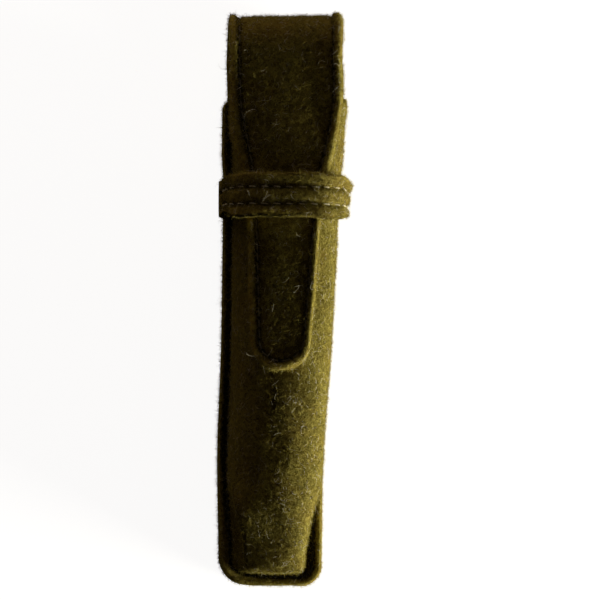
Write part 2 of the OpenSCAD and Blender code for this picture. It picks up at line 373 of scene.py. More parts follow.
# How far the cut edge rolls down, and how high its roll stands, from 0 to 1
def rollDown(x, s, d):
    return lerp(*flap["rimRoll"], rightShare(x)) * standing(s) * (1 - unit(d / flap["rollReach"])) ** 2


def rimCrest(d):
    start = 0.45
    return np.sin(np.pi * unit((d + start) / (seamIn + start))) ** flap["rimPower"]


# Outer face of the strip: its rounded rim, sewn groove and soft middle, as depth below the plain face
def outerFace(x, s, d):
    groove = hump(d, (flap["grooveDepth"], seamIn, flap["grooveWidth"]))
    groove = groove * (1 + flap["stitchPull"] * np.cos(2 * np.pi * s / seam["pitch"]))
    puff = flap["middlePuff"] * standing(s) * (1 - np.exp(-np.maximum(d - seamIn, 0) / flap["puffReach"]))
    puff = puff - hump(foldAngle(s), flap["foldSink"]) * ease((d - seamIn) / 2)
    across = np.stack([x, s], -1)
    lumps = flap["lumps"] * waves(across, flap["lumpSize"], 11) * unit(d / 2)
    lumps = lumps + flap["rimLumps"] * waves(across, flap["rimLumpSize"], 12) * rimCrest(d)
    rim = lerp(*flap["rimProud"], rightShare(x)) * rimCrest(d)
    fall = roundOff(d, *flap["cutEdge"]) + rollDown(x, s, d)
    return groove - (rim + lumps) * standing(s) - puff + fall


# Painted light of the strip's outer face: painted highlights on the rims, painted shade in the seam groove
# and over the middle, deeper near the keeper
def outerPaintedLight(x, s, d):
    # painted highlight on the left rim, painted shade at its foot
    left = hump(d, flapPaintedLight["leftRim"]) + hump(d, flapPaintedLight["leftRimFoot"])
    paintedLightLevel = lerp(left, flapPaintedLight["rightRim"] * rimCrest(d), rightShare(x))
    # painted shade over the middle, deeper near the keeper
    tuckedShade = (slope(flapSideY(s), flapPaintedLight["nearKeeper"]) + flapPaintedLight["middle"]) * ease((d - seamIn) / 1.5)
    return standing(s) * (paintedLightLevel - tuckedShade + hump(d, flapPaintedLight["seam"]))


# Sheets with one round end
sheetCount = 9  # cells from the middle of the round end to where its corner starts
sheetStep = 0.62
rimDepths = np.array([0, 0.05, 0.14, 0.28, 0.48, 0.75, 1.05, 1.35, 1.65, 1.92, 2.12, 2.28, 2.42, 2.56, 2.7,
                      2.84, 2.98, 3.12, 3.3, 3.6, 4.1, 4.9])


# Right half of an outline from the middle of its round end up to lastQ, with the way in at each point
def endPath(lowHalf, radius, startQ, lastQ, halfAt, count, step):
    turn = np.radians(np.linspace(-90, 0, 23)[1:])
    flatX = np.linspace(0, lowHalf - radius, count + 1)
    sideQ = np.linspace(startQ + radius, lastQ, int((lastQ - startQ - radius) / step) + 2)[1:]
    x = np.concatenate([flatX, lowHalf - radius + radius * np.cos(turn), halfAt(sideQ)])
    q = np.concatenate([np.full(count + 1, startQ), startQ + radius + radius * np.sin(turn), sideQ])
    inX = np.concatenate([np.zeros(count + 1), -np.cos(turn), np.full(len(sideQ), -1.0)])
    inQ = np.concatenate([np.ones(count + 1), -np.sin(turn), np.zeros(len(sideQ))])
    return np.stack([x, q], -1), np.stack([inX, inQ], -1)


def mirrored(rows):
    other = rows * np.array([-1.0, 1.0])
    return np.concatenate([other[::-1][:-1], rows])


# Flat border and middle of such a sheet, each with its distance from the edge
def sheetFlat(path, inward, depths, count, wander):
    right = path[:, None, :] + inward[:, None, :] * depths[None, :, None]
    if wander:
        sway = wander * waves(path, 14.0, 5) * unit((path[:, 1] - path[0, 1]) / 12)
        fade = np.exp(-depths / 2.0)
        right = right + inward[:, None, :] * (sway[:, None] * fade[None, :])[:, :, None]
    left = right * np.array([-1.0, 1.0])
    border = np.concatenate([left[::-1][:-1], right])
    inner = right[count:, -1]
    share = np.linspace(-1, 1, 2 * count + 1)
    middle = np.stack([inner[:, None, 0] * share, np.repeat(inner[:, 1:], len(share), 1)], -1)
    outline = mirrored(path)
    flat = middle.reshape(-1, 2)
    gap = np.array([np.sqrt(((outline - p) ** 2).sum(1).min()) for p in flat]).reshape(middle.shape[:2])
    gap = np.maximum(gap, depths[-1])
    gap[:, 0] = gap[:, -1] = gap[0] = depths[-1]
    return border, np.broadcast_to(depths, border.shape[:2]), middle, gap


# Closed sheet from two faces, each given as a function of (x, s, d)
def roundEndedSheet(name, path, inward, sign, faces, wander=0.0):
    border, borderGap, middle, middleGap = sheetFlat(path, inward, rimDepths, sheetCount, wander)
    upper, lower, wear = [], [], []
    for face, keep in zip(faces, (upper, lower)):
        for flat, gap in ((border, borderGap), (middle, middleGap)):
            x, s = flat[..., 0], sign * flat[..., 1]
            keep.append(stripPoint(x, s, face(x, s, gap)))
            if face is outerFace:
                wear.append(outerPaintedLight(x, s, gap))
    walls = [np.stack([upper[0][:, 0], lower[0][:, 0]])]
    cut = []
    for k in (0, -1):
        cut.append(np.stack([upper[0][k], lower[0][k]]))
    cut.append(np.stack([upper[1][-1], lower[1][-1]]))
    thing = weldGrids(name, upper + lower + walls, cut, wear)
    return thing, upper, walls, wear


print("helpers ready")

# The strip: back, fold, flap and tongue. Reach and fall of its other cut edges
betweenEdge = (0.3, 0.2)
insideEdge = (0.5, 0.35)


def plainOuterInside(x, s, d):
    return felt - roundOff(d, *betweenEdge) + rollDown(x, s, d)


def liningOuterFace(x, s, d):
    return felt + roundOff(d, *betweenEdge) + rollDown(x, s, d)


def liningInsideFace(x, s, d):
    return panel - roundOff(d, *insideEdge) + rollDown(x, s, d)


layers = {
    "outer": (outerFace, plainOuterInside),
    "lining": (liningOuterFace, liningInsideFace),
}

backPath = endPath(sleeve["footWidth"] / 2, sleeve["cornerRadius"], bottomY, cutS[0], stripHalf,
                   sheetCount, sheetStep)
flapPath = endPath(tipRadius, tipRadius, -tipS, -cutS[1], lambda q: stripHalf(-q), sheetCount, sheetStep)


def foldMiddle(name, faces):
    s = np.linspace(cutS[0], cutS[1], 25)
    half = flap["halfWidth"]
    inner = np.linspace(half - rimDepths[-1], -(half - rimDepths[-1]), 19)[1:-1]
    across = np.concatenate([half - rimDepths, inner, (rimDepths - half)[::-1]])
    x, s = np.broadcast_arrays(across[None, :], s[:, None])
    gap = half - np.abs(x)
    upper, lower = [stripPoint(x, s, face(x, s, gap)) for face in faces]
    sides = edgeWalls(upper, lower, ["left", "right"])
    wear = [outerPaintedLight(x, s, gap)] if faces[0] is outerFace else []
    thing = weldGrids(name, [upper, lower] + sides, edgeWalls(upper, lower, ["first", "last"]), wear)
    return thing, [upper], sides, wear


strip = {}
for layer, faces in layers.items():
    sway = flap["edgeWander"] if layer == "outer" else 0.0
    strip["back", layer] = roundEndedSheet("felt_back_" + layer, *backPath, 1, faces)
    strip["fold", layer] = foldMiddle("felt_fold_" + layer, faces)
    strip["flap", layer] = roundEndedSheet("felt_flap_" + layer, *flapPath, -1, faces, sway)
print("strip of felt cut and folded")

# The moulded front. Where a dictionary has two keys, -1 is the left side and 1 the right
front = {
    "footIn": seamIn + sleeve["threadThick"] + 0.25,
    "endIn": seamIn + sleeve["threadThick"] + 0.1,
    "toeOff": 1.6,
    "widest": 0.55,  # share of its height
    "bodyPower": 2.4,
    "toePower": {-1: 12.0, 1: 3.0},
    "toeShoulder": {-1: 0.7, 1: 2.6},
    "toeCrown": {-1: 1.3, 1: 0.3},
    "toeReach": 1.05,
    "rimMiddle": (0.95, 0.45),  # round the foot and along the left side of the body, as in the next two
    "rimWidth": (0.7, 0.4),
    "valleyStart": (1.3, 0.6),
    "valleyWide": 1.2,
    "rimThins": (1.0, -64, 22),
    "footSwells": (1.0, -60, -12),
    "footRim": 0.3,
    "footValley": 1.0,
    "endRound": 1.3,
    "toeCorner": 1.4,
    "lean": 1.35,
    "leftIn": ((0.8, -58, 20), (0.5, 30, 10), (-0.9, -66, -10)),
    "rightIn": (0.7, -66, -8),
    "rightWaist": (1.5, -63, 9),
    "rimProud": 0.5,
    "grooveDepth": 0.85,
    "cutEdge": (0.7, 0.6),
    "mouthRound": (0.45, 0.4),
    "lumps": 0.14,
    "edgeWaves": 0.28,
}
widestZ = panel + front["widest"] * sleeve["penRoom"]
# Painted light on the front: painted highlights on its rims, painted shade in its grooves, on its walls and
# its toe flank, painted shadows under and beside the tongue, at the toe corner and down the middle; below 0
# the nap also thins
frontPaintedLight = {
    "rim": 0.5,
    "bottomRim": (0.6, -77, -3),
    "groove": 1.25,
    "walls": {-1: ((0.75, -48, -12), (0.6, 30, 6)), 1: ((0.35, 30, 6),)},
    "toeFlank": (-0.75, -48, -12),
    "flankFrom": (1.0, 0.86, 0.08),  # by share of the half width
    "underTongue": (1.25, (-1.4, 3.4), (-26, 9)),
    "toeCorner": (0.85, (-6.2, 3.0), (-65, 5.5)),
    "besideTongue": (0.75, 0.6, 0.7),
    "ridge": (0.5, -1.0, 2.4),
    "ridgeEnds": ((1.0, -34, -8), (1.0, -62, 8)),
}
toeY = bottomY + front["endIn"] + front["toeOff"]
flangeDepths = np.array([0, 0.05, 0.14, 0.28, 0.48, 0.75, 1.05, 1.35, 1.65, 1.92, 2.14, 2.32, 2.5, 2.7,
                         2.88, 3.04, 3.2, 3.3, 3.4]) / 3.4
wallSteps = np.array([0.05, 0.12, 0.22, 0.34, 0.47, 0.6, 0.73, 0.87, 1.0])
frontCount = 16
arcRows = 22


def frontHalf(y):
    inset = lerp(sleeve["footEdge"], sleeve["mouthEdge"], unit((y - bottomY) / (mouthY - bottomY)))
    start = ease((y - toeY) / sleeve["toeLength"] / 1.2 + 0.12)
    return lerp(sleeve["toeWidth"] / 2, edgeHalf(y) - inset, start)


def frontHeight(y, inset):
    top = lerp(toeTop, frontTop, ease((y - toeY) / sleeve["toeLength"]) ** 0.5) - inset
    return top - roundOff(y - toeY - inset, front["endRound"], front["endRound"])


# The moulded part stands over to the right, most of it low down
def leanAt(z):
    high = unit((z - flangeTop) / (frontTop - flangeTop))
    return front["lean"] * ease(high * 2.2)


# The left side is drawn in along the body and the right side at the toe
def drawnIn(y, side):
    if side < 0:
        return slopes(y, front["leftIn"])
    return hump(y, front["rightWaist"]) + slope(y, front["rightIn"])


# Outline of the front, with close points where its corners round off at the mouth
def frontOutline():
    path, inward = endPath(sleeve["footWidth"] / 2, sleeve["cornerRadius"], bottomY, mouthY, edgeHalf,
                           frontCount, sheetStep)
    last = np.array([0.45, 0.25, 0.1, 0.03, 0.0])
    keep = path[:, 1] < mouthY - 0.6
    tail = np.stack([edgeHalf(mouthY - last), mouthY - last], -1)
    path = np.concatenate([path[keep], tail])
    inward = np.concatenate([inward[keep], np.tile([-1.0, 0.0], (len(last), 1))])
    edge = path.copy()
    edge[:, 0] -= cornerCut(path[:, 1])
    return path, inward, edge


# Height and painted light of the sewn edge along path, gap in from its outline: a painted highlight on its
# rim, painted shade in its valley
def sewnEdge(path, side, gap, detail, edgeFall):
    x, y = path[:, :1], path[:, 1:]
    thin = slope(y, front["rimThins"]) * (side < 0)
    foot = slope(y, front["footSwells"]) * unit(x / 9) * (side < 0)
    rimAt = lerp(*front["rimMiddle"], thin) + front["footRim"] * foot
    rimWide = lerp(*front["rimWidth"], thin) + front["footRim"] * foot
    valleyAt = lerp(*front["valleyStart"], thin) + front["footValley"] * foot
    crest = bell((gap - rimAt) / rimWide)
    dip = front["grooveDepth"] * ease((gap - valleyAt) / front["valleyWide"])
    level = detail * (front["rimProud"] * crest - dip) - edgeFall * roundOff(gap, *front["cutEdge"])
    lit = frontPaintedLight["rim"] + slope(y, frontPaintedLight["bottomRim"])
    return level, lit * crest - frontPaintedLight["groove"] * ease((gap - valleyAt + 0.1) / 0.9)


# One side of the moulded part in rows across, with the painted shade of its flank
def mouldedSide(y, inset, mouthRound, flangeZ, side):
    y = y[:, None]
    draw = inset + mouthRound * roundOff(mouthY - y, *front["mouthRound"])
    corner = front["toeCorner"]
    half = frontHalf(y) - draw - roundOff(y - toeY - inset, corner, corner) * 0.9
    top = frontHeight(y, draw)
    boxy = 1 - ease((y - toeY) / (sleeve["toeLength"] * front["toeReach"]))
    middleZ = np.minimum(widestZ, lerp(panel, top, front["widest"]))
    turn = np.linspace(0, np.pi / 2, frontCount + 1)[::-1]
    cos, sin = np.cos(turn), np.sin(turn)
    cos[0], sin[-1] = 0, 0
    shoulderZ = lerp(middleZ, top - front["toeShoulder"][side], boxy**0.8)
    shoulderZ = np.maximum(shoulderZ, flangeZ + 0.5)
    power = lerp(front["bodyPower"], front["toePower"][side], boxy**0.9)
    wide = half - drawnIn(y, side)
    out = cos ** (2 / power)
    x = wide * out
    z = shoulderZ + (top - shoulderZ) * sin ** (2 / power)
    z = z - front["toeCrown"][side] * boxy * (x / wide) ** 2 * sin**0.3
    flank = slope(out, frontPaintedLight["flankFrom"])
    part = np.stack([x, np.repeat(y, len(turn), 1), z], -1)
    return part, flank * slope(y, frontPaintedLight["toeFlank"]) * (side < 0)


# Puts a mirrored left side and a right side together, in rows or in columns
def joinSides(sides, axis):
    left = np.flip(sides[-1], axis)
    left = left[:-1] if axis == 0 else left[:, :-1]
    return np.concatenate([left, sides[1]], axis)


# Painted shadows on the front, where its nap also thins: under the tongue and along its left edge, at the
# toe, down the middle
def paintedShadows(x, y):
    past = np.hypot(x, np.minimum(y - tipCentreY, 0))
    beside = past - np.where(y > tipCentreY, flapHalf(y), tipRadius)
    beside = hump(beside, frontPaintedLight["besideTongue"]) * unit((3 - x) / 6) * ease((34 - y) / 4)
    start, end = frontPaintedLight["ridgeEnds"]
    ridge = hump(x, frontPaintedLight["ridge"]) * slope(y, start) * slope(y, end)
    return patch(x, y, frontPaintedLight["underTongue"]) + patch(x, y, frontPaintedLight["toeCorner"]) + beside + ridge


# One face of the front, drawn in by inset, with its sewn edge at flangeZ
def frontFace(inset, flangeZ, detail, edgeFall, mouthRound):
    path, inward, edge = frontOutline()
    footDepth = front["footIn"] + inset
    footLine = path + inward * footDepth
    gap = flangeDepths * footDepth
    y = path[frontCount:, 1].copy()
    cornerTop = bottomY + sleeve["cornerRadius"]
    y[:arcRows + 1] = lerp(toeY + inset, cornerTop, np.linspace(0, 1, arcRows + 1) ** 1.6)
    # painted shade low on the walls, next to the valley
    wallPaintedShade = -frontPaintedLight["groove"] * (1 - ease(wallSteps * 2.2))
    bow = lerp(wallSteps, 1 - (1 - wallSteps) ** 2, 0.85)
    climb = np.stack([bow, bow, wallSteps], -1)
    parts, partPaintedShade, borders, borderPaintedLight = {}, {}, {}, {}
    for side in (-1, 1):
        # the sewn edge's height, and in pressed its painted light: a painted highlight on the rim, painted
        # shade in the valley
        level, pressed = sewnEdge(path, side, gap, detail, edgeFall)
        part, partPaintedShade[side] = mouldedSide(y, inset, mouthRound, flangeZ, side)

        # shoulder of each row of the outline; along the straight end it is the first row across
        shoulder = np.concatenate([part[0, :-1], part[:, -1]])
        flat = edge[:, None] + (footLine - edge)[:, None] * flangeDepths[None, :, None]
        flange = np.concatenate([flat, flangeZ + level[..., None]], 2)
        start = flange[:, -1:]
        wall = start + (shoulder[:, None] - start) * climb
        flip = np.array([side, 1.0, 1.0])
        parts[side] = part * flip
        borders[side] = np.concatenate([flange, wall], 1) * flip
        # painted shade on the walls: on the left at the toe, on both sides near the mouth
        dark = slopes(path[:, 1:], frontPaintedLight["walls"][side])
        borderPaintedLight[side] = np.concatenate([pressed, np.minimum(wallPaintedShade, -dark)], 1)
    middle, border = joinSides(parts, 1), joinSides(borders, 0)
    # the top carries painted shade on the toe's left flank and the painted shadows round the tongue, at the
    # toe and down the middle
    middlePaintedLight = joinSides(partPaintedShade, 1) - paintedShadows(middle[..., 0], middle[..., 1])

    for grid in (border, middle):
        high = unit((grid[..., 2] - flangeTop) / (frontTop - flangeTop))
        grid[..., 0] += leanAt(grid[..., 2])
        grid[..., 2] += waves(grid[..., :2], 17.0, 21) * front["lumps"] * high
        grid[..., 0] += waves(grid[..., :2], 23.0, 22) * front["lumps"] * high
        wavy = (1 - high) * unit((bottomY + 6 - grid[..., 1]) / 4)
        grid[..., 1] += front["edgeWaves"] * wavy * waves(grid[..., :1], 12.0, 23)
    return settle(border), settle(middle), [joinSides(borderPaintedLight, 0), middlePaintedLight]


def frontSheet(name, outerInset, outerZ, innerInset, innerZ, detail):
    *upper, wear = frontFace(outerInset, outerZ, detail, 1, 1)
    *lower, _ = frontFace(innerInset, innerZ, 0, -0.5, -0.6)
    walls = [np.stack([upper[0][:, 0], lower[0][:, 0]])]
    ends = [np.stack([upper[0][k], lower[0][k]]) for k in (0, -1)]
    ends.append(np.stack([upper[1][-1], lower[1][-1]]))
    thing = weldGrids(name, upper + lower + walls + ends, (), wear if detail else [])
    return thing, upper, walls, wear


frontSheets = frontSheet("felt_front_outer", 0, flangeTop, felt, 3 * felt, 1)
frontOuter = frontSheets[0]
frontLining = frontSheet("felt_front_lining", felt + 0.05, 3 * felt - 0.02, panel, panel + 0.02, 0)[0]
print("front moulded")

# The keeper band; a pair holds the left end's value and the right end's
keeper = {
    "top": mouthY - 21.2,
    "width": 12.35,
    "proud": 1.0,
    "rowIn": 3.8,
    "power": 3.0,
    "flare": 0.5,
    "puff": 0.3,
    "bead": 0.18,
    "outerEdge": (0.6, 0.45),  # this and the next two are reach and fall
    "outerEnd": (0.5, 0.4),
    "underEdge": (0.4, 0.25),
    "grooveDepth": 0.6,
    "grooveWidth": 0.5,
    "endsFrom": (1.0, 14.6, 4),
    "endsBelow": (1.0, flapTop - 1, -7),
    "endsThin": 0.2,
    "endsNarrow": 0.06,
    "upperDrop": (0.6, 1.9),
    "lowerLift": (0.9, 0.3),
    "upperOut": (-0.3, 1.0),
    "endOut": (0.0, -0.3),
    "shift": -0.4,
    "turned": 0.02,
    "pressed": 0.55,
    "pressedHalf": 9.5,
    "edgeWaves": 0.22,
    "notchDepth": 1.1,
    "notchAt": 0.15,  # share of its length from the right end
    "notchLong": 0.07,
    "pitch": 3.5,
    "stitch": 1.8,
    "stitchDepth": 0.13,
}
# Painted light on the keeper band: a painted highlight on its beads, painted shade at its stitch rows, upper
# lobe, left end, lower edge and lower edge wall
keeperPaintedLight = {
    "bead": 0.3,
    "row": (0.5, keeper["rowIn"], 0.75),
    "lowerEdge": (1.35, 0.5),  # at the left and at the right
    "upperLobe": 0.3,
    "leftEnd": 0.75,
    "lowerWall": -1.25,
}
keeperLow = keeper["top"] - keeper["width"]
keeperMid = (keeper["top"] + keeperLow) / 2
keeperHalf = max(frontHalf(keeper["top"]), flapHalf(keeper["top"]) + 1.5) + sleeve["runGap"]
keeperFoot = edgeHalf(keeperMid) - front["footIn"] + sleeve["runGap"]
keeperEnd = edgeHalf(keeperMid) + keeper["proud"]
tongueShare = ((flapHalf(keeper["top"]) + sleeve["runGap"]) / keeperHalf) ** keeper["power"]
keeperRise = (flapTop + sleeve["runGap"] - widestZ) / (1 - tongueShare) ** (1 / keeper["power"])


# Half of the band's path round the front, d out from its inner face, as x and z
def keeperCurve(d):
    tab = np.linspace(0, 1, 9)[:-1]
    flank = np.linspace(0, 1, 19)[:-1]
    turn = np.radians(np.linspace(0, 90, 64))
    wide = keeperHalf + d
    tabX = lerp(keeperEnd, keeperFoot + d, tab)
    flankX = wide - (keeperHalf - keeperFoot) * (1 - flank) ** 2
    archX = wide * np.cos(turn).clip(0) ** (2 / keeper["power"])
    tabZ = np.full(len(tab), flangeTop + d)
    flankZ = lerp(flangeTop + d, widestZ, flank)
    archZ = widestZ + (keeperRise + d) * np.sin(turn) ** (2 / keeper["power"])
    archX[-1] = 0
    half = np.stack([np.concatenate([tabX, flankX, archX]), np.concatenate([tabZ, flankZ, archZ])], -1)
    whole = np.concatenate([half, (half * np.array([-1, 1]))[::-1][1:]])
    for _ in range(7):
        whole[1:-1] = (whole[:-2] + 2 * whole[1:-1] + whole[2:]) / 4
    return whole


def resample(line, share):
    length = runLength(line)
    return np.stack([np.interp(share * length[-1], length, line[:, k]) for k in range(line.shape[1])], -1)


keeperLength = np.linalg.norm(np.diff(keeperCurve(felt), axis=0), axis=1).sum()
keeperShare = np.linspace(0, 1, 181)
keeperBase = resample(keeperCurve(0.0), keeperShare)
keeperWay = (resample(keeperCurve(panel), keeperShare) - keeperBase) / panel


# share along the band, w down from its upper edge, d out from its inner face
def keeperPoint(share, w, d):
    spot = np.stack([np.interp(share, keeperShare, keeperBase[:, k]) for k in (0, 1)], -1)
    way = np.stack([np.interp(share, keeperShare, keeperWay[:, k]) for k in (0, 1)], -1)
    low = slope(spot[..., 1], keeper["endsBelow"])
    spot = spot + way * (np.asarray(d) * (1 - keeper["endsThin"] * low))[..., None]
    across, z = spot[..., 0], spot[..., 1]
    middle = keeper["width"] / 2
    down = middle + (w - middle) * (1 - keeper["endsNarrow"] * low)
    end = slope(np.abs(across), keeper["endsFrom"])
    upper = 1 - w / keeper["width"]
    drop = bySide(across, keeper["upperDrop"]) * end * upper
    drop = drop - bySide(across, keeper["lowerLift"]) * end * unit(w / keeper["width"] * 2 - 1) ** 2
    out = (bySide(across, keeper["upperOut"]) * upper + bySide(across, keeper["endOut"])) * end
    x = across + leanAt(z) + out + keeper["shift"]
    z = z - keeper["pressed"] * unit(1 - (across / keeper["pressedHalf"]) ** 2)
    return settle(np.stack([x, keeper["top"] - down - drop + keeper["turned"] * x, z], -1))


def keeperEdge(w):
    return np.minimum(w, keeper["width"] - w)


def keeperFlare(w):
    return keeper["flare"] * (1 - unit(keeperEdge(w) / keeper["rowIn"])) ** 1.5


def keeperFace(w, level, detail):
    edge = keeperEdge(w)
    puff = keeper["puff"] * ease((edge - keeper["rowIn"]) / 1.6)
    groove = hump(edge, (keeper["grooveDepth"], keeper["rowIn"], keeper["grooveWidth"]))
    bead = keeper["bead"] * np.sin(np.pi * unit(edge / (keeper["rowIn"] - 0.4)))
    return level + keeperFlare(w) + detail * (puff - groove + bead)


# Painted highlight along its beads, painted shade at its rows, upper lobe, left end and lower edge
def keeperPaintedLightAt(w, across, detail):
    edge = keeperEdge(w)
    wear = keeperPaintedLight["bead"] * unit(1 - np.abs(edge - 1.2)) - hump(edge, keeperPaintedLight["row"])
    wear = wear - keeperPaintedLight["upperLobe"] * bell(across / 8) * ease((3 - w) / 0.6)
    wear = wear - keeperPaintedLight["leftEnd"] * ease((across.min() + 2.3 - across) / 0.5)
    lowerEdge = lerp(*keeperPaintedLight["lowerEdge"], unit((across + 1) / 11))
    return detail * wear - lowerEdge * ease((w - keeper["width"] + 1.2) / 0.5)


def keeperLayer(name, low, high, detail):
    width = keeper["width"]
    step = np.array([0, 0.05, 0.15, 0.3, 0.5, 0.8, 1.2, 1.6, 2.0, 2.4, 2.75, 3.05, 3.3, 3.6, 3.9, 4.2, 4.6,
                     5.2, 5.7, 6.25])
    w = np.concatenate([step, (width - step)[::-1][1:]])
    share = np.concatenate([[0, 0.0007, 0.002, 0.0045], np.linspace(0.009, 0.991, 170),
                            [0.9955, 0.998, 0.9993, 1]])
    w, share = np.broadcast_arrays(w[None, :], share[:, None])
    edge = keeperEdge(w)
    end = np.minimum(share, 1 - share) * keeperLength
    notch = bell((share - keeper["notchAt"]) / keeper["notchLong"]) * bell((edge - keeper["rowIn"]) / 0.7)
    top = keeperFace(w, high, detail) - detail * keeper["notchDepth"] * notch
    top = top - roundOff(edge, *keeper["outerEdge"]) - roundOff(end, *keeper["outerEnd"])
    under = low + keeperFlare(w) + roundOff(edge, *keeper["underEdge"]) + roundOff(end, *keeper["underEdge"])
    under = np.minimum(under, top - 0.05)
    upper, lower = keeperPoint(share, w, top), keeperPoint(share, w, under)
    for grid in (upper, lower):
        grid[..., 1] += keeper["edgeWaves"] * waves(grid[..., [0, 2]], 16.0, 31)
    walls = edgeWalls(upper, lower, ["first", "last", "left", "right"])
    wear = keeperPaintedLightAt(w, upper[..., 0], detail)
    plain = [np.zeros(g.shape[:-1]) for g in [lower] + walls[:3]]
    # painted shade on the band's lower edge wall
    allPaintedLight = [wear] + plain + [np.full(walls[3].shape[:-1], keeperPaintedLight["lowerWall"])]
    return weldGrids(name, [upper, lower] + walls, (), allPaintedLight), [upper], walls, [wear]


keeperSheets = keeperLayer("felt_keeper_outer", felt, panel, 1)
keeperUnderSheets = keeperLayer("felt_keeper_lining", 0.0, felt, 0)
print("keeper band sewn on")

# Thread
thread = {
    "plyRadius": 0.125,
    "plyOffset": 0.115,
    "twist": 1.15,
    "sides": 6,
    "steps": 15,
    "dive": 0.62,
    "slant": 0.07,
    "slantUneven": 0.4,
    "lengthUneven": 0.08,
    "placeUneven": 0.06,
    "buried": 0.12,
}


# Stitches of two plies. Each stitch is its points in mm and the way away from the felt at each
def stitchMesh(name, stitches):
    points = []
    faces = []
    base = 0
    count = thread["sides"]
    ring = np.linspace(0, 2 * np.pi, count, endpoint=False)
    for number, (centre, out) in enumerate(stitches):
        along = np.gradient(centre, axis=0)
        along /= np.linalg.norm(along, axis=1)[:, None]
        across = np.cross(along, out)
        across /= np.linalg.norm(across, axis=1)[:, None]
        out = np.cross(across, along)
        taper = 1 - 0.5 * np.abs(np.linspace(-1, 1, len(centre))) ** 6
        turned = across[:, None] * np.cos(ring)[:, None] + out[:, None] * np.sin(ring)[:, None]
        turned = turned * (thread["plyRadius"] * taper)[:, None, None]
        for ply in (0, 1):
            angle = 2 * np.pi * runLength(centre) / thread["twist"] + np.pi * ply + 0.7 * number
            away = across * np.cos(angle)[:, None] + out * np.sin(angle)[:, None]
            tube = (centre + thread["plyOffset"] * away)[:, None] + turned
            points.append(tube.reshape(-1, 3))
            index = base + np.arange(len(centre) * count).reshape(len(centre), count)
            base += index.size
            nextOne = np.roll(index, -1, axis=1)
            quads = np.stack([index[:-1], nextOne[:-1], nextOne[1:], index[1:]], -1).reshape(-1, 4)
            faces += quads.tolist() + [index[0][::-1].tolist(), index[-1].tolist()]
    return addStrands(name, np.concatenate(points), faces)


# Places of a row's stitches along a length
def rowPlaces(length, pitch, bar):
    count = int((length - bar) / pitch) + 1
    return (length - (count - 1) * pitch) / 2 + np.arange(count) * pitch


# Stitches along a flat path of (x, s), put on a surface by place(x, s, depth)
def pathStitches(path, place, pitch, bar, depth, seed, skip=None):
    dice = np.random.default_rng(seed)
    length = runLength(path)
    found = []
    t = np.linspace(-1, 1, thread["steps"])
    for middle in rowPlaces(length[-1], pitch, bar):
        size = bar * (1 + thread["lengthUneven"] * dice.normal())
        at = middle + thread["placeUneven"] * dice.normal() + t * (size / 2 + thread["buried"])
        spot = np.stack([np.interp(at, length, path[:, k]) for k in (0, 1)], -1)
        way = np.gradient(spot, axis=0)
        way /= np.linalg.norm(way, axis=1)[:, None] + 1e-9
        side = np.stack([way[:, 1], -way[:, 0]], -1)
        slant = thread["slant"] * (1 + thread["slantUneven"] * dice.normal())
        spot = spot + side * (slant * t * size / 2)[:, None]
        if skip and skip(spot[len(t) // 2]):
            continue
        sink = depth + thread["dive"] * np.abs(t) ** 5
        centre = place(spot[:, 0], spot[:, 1], sink)
        above = place(spot[:, 0], spot[:, 1], sink - 0.3)
        found.append((centre, above - centre))
    return found


def seamStitches(path, place, seed, skip=None, depth=seam["depth"]):
    return pathStitches(path, place, seam["pitch"], seam["bar"], depth, seed, skip)


# Rows of stitches along both edges of the strip, from s0 to s1
def stripRows(s0, s1, seed):
    s = np.linspace(s0, s1, 400)
    rows = []
    for number, side in enumerate((1, -1)):
        path = np.stack([side * (stripHalf(s) - seamIn), s], -1)
        rows += seamStitches(path, stripPoint, seed + number)
    return rows


def tongueRound(seed):
    s = np.linspace(cutS[1] + 1.0, tipS - tipRadius, 300)
    turn = np.radians(np.linspace(0, 180, 60)[1:-1])
    inner = tipRadius - seamIn
    tip = np.stack([inner * np.cos(turn), tipS - tipRadius + inner * np.sin(turn)], -1)
    right = np.stack([stripHalf(s) - seamIn, s], -1)
    path = np.concatenate([right, tip, (right * np.array([-1, 1]))[::-1]])
    return seamStitches(path, stripPoint, seed, depth=seam["depth"] - 0.05)


def frontFlangePlace(x, y, sink):
    z = flangeTop + 0.05 - sink
    return settle(np.stack([x, y, z], axis=-1))


def sidePath(side):
    y = np.linspace(bottomY + sleeve["cornerRadius"], mouthY - sleeve["mouthRadius"], 200)
    return np.stack([side * (edgeHalf(y) - seamIn), y], -1)


def bottomPath():
    radius = sleeve["cornerRadius"] - seamIn
    turn = np.radians(np.linspace(-90, 0, 30))
    x = sleeve["footWidth"] / 2 - sleeve["cornerRadius"] + radius * np.cos(turn)
    y = bottomY + sleeve["cornerRadius"] + radius * np.sin(turn)
    right = np.stack([x, y], -1)
    return np.concatenate([(right * np.array([-1, 1]))[::-1], right])


def underKeeper(spot):
    return abs(spot[1] - keeperMid) < keeper["width"] / 2 + 0.5


def keeperRow(w, seed):
    first = 0.05
    path = np.stack([np.linspace(first, 1 - first, 400) * keeperLength, np.full(400, w)], -1)

    def place(along, down, sink):
        return keeperPoint(along / keeperLength, down, panel + keeperFlare(down) - sink)

    return pathStitches(path, place, keeper["pitch"], keeper["stitch"], keeper["stitchDepth"], seed)


